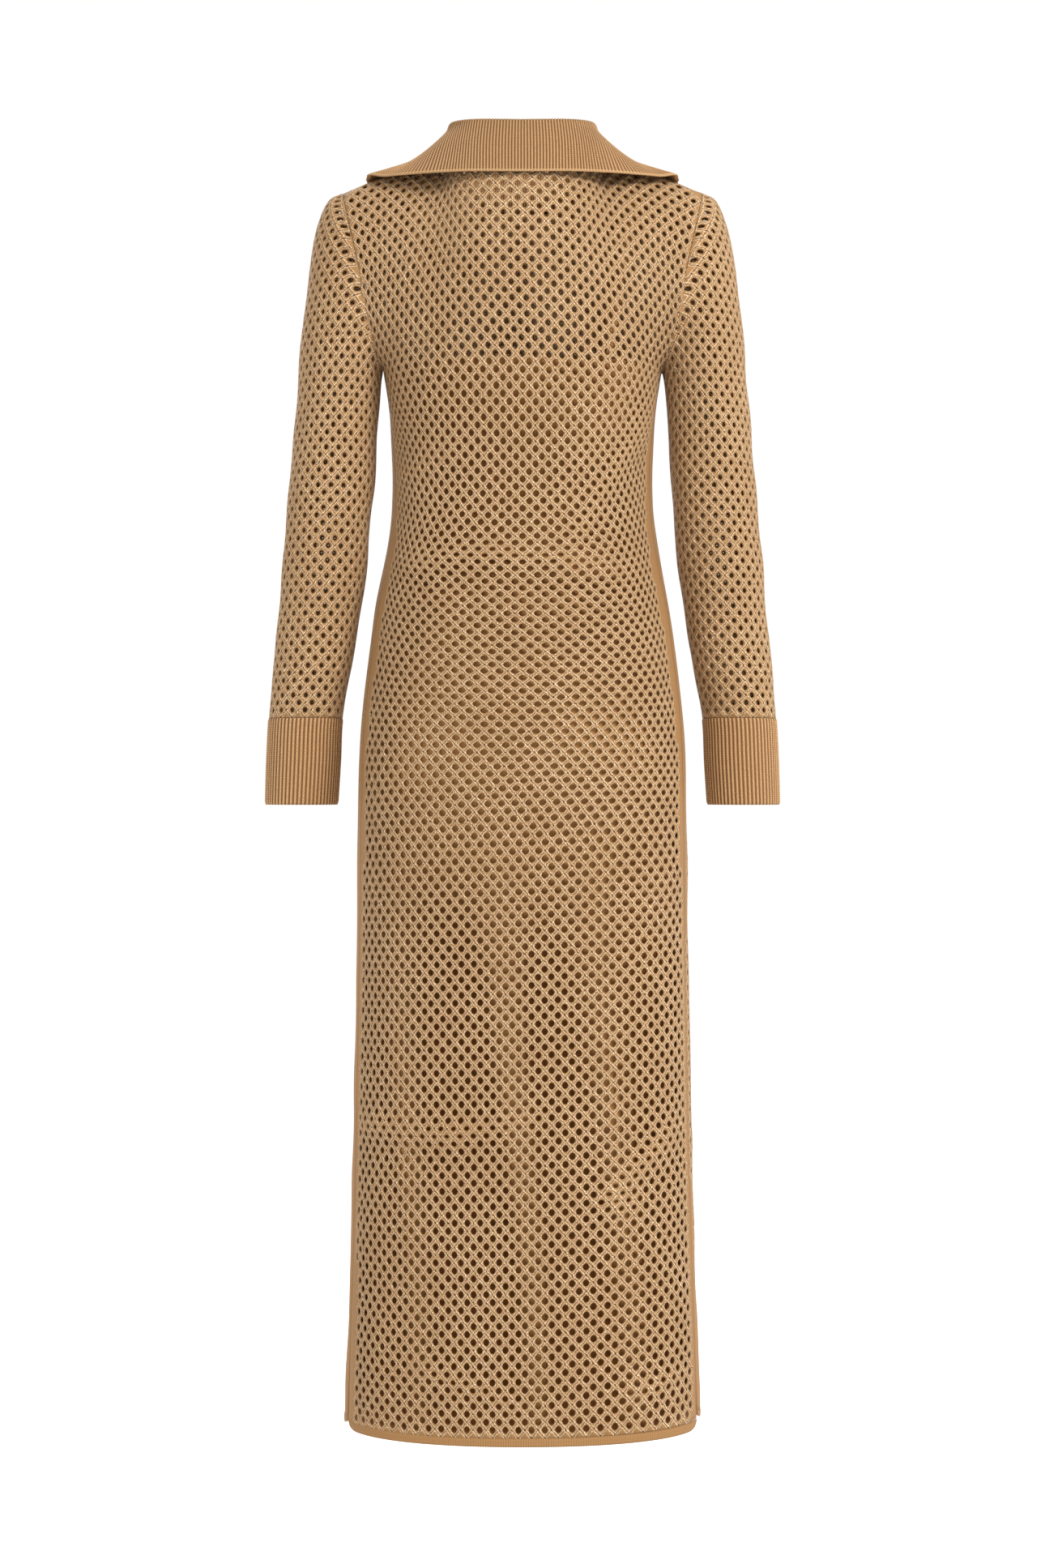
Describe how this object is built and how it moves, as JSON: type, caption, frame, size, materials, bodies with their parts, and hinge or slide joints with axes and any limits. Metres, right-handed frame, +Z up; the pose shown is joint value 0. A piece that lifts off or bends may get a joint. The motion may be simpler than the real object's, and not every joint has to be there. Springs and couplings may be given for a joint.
{
  "type": "sweater dress",
  "caption": "Hollow worn form of a long-sleeved open-knit dress with a folded ribbed collar, deep ribbed cuffs, side vents and a slip seen through the knit.",
  "frame": {"origin": "between the two shoulder seams at the base of the neck, where the wearer's shoulders carry the dress", "axes": "+Z up from the hem to the collar, +Y towards the garment's back, +X towards the wearer's left"},
  "size_m": [0.5378, 0.2344, 1.3398],
  "materials": {
    "open_knit": "open pointelle knit, soft sheen",
    "plain_knit": "fine plain knit",
    "ribbed_knit": "fine ribbed knit",
    "slip_cloth": "smooth fine jersey"
  },
  "bodies": {
    "root": {"back_panel": "open_knit", "front_panel": "open_knit", "sleeve_left": "open_knit", "sleeve_right": "open_knit", "back_hem_band": "plain_knit", "front_hem_band": "plain_knit", "cuff_left": "ribbed_knit", "cuff_right": "ribbed_knit", "collar": "ribbed_knit", "slip_back": "slip_cloth", "slip_front": "slip_cloth", "slip_strap_left": "slip_cloth", "slip_strap_right": "slip_cloth"}
  },
  "joints": []
}
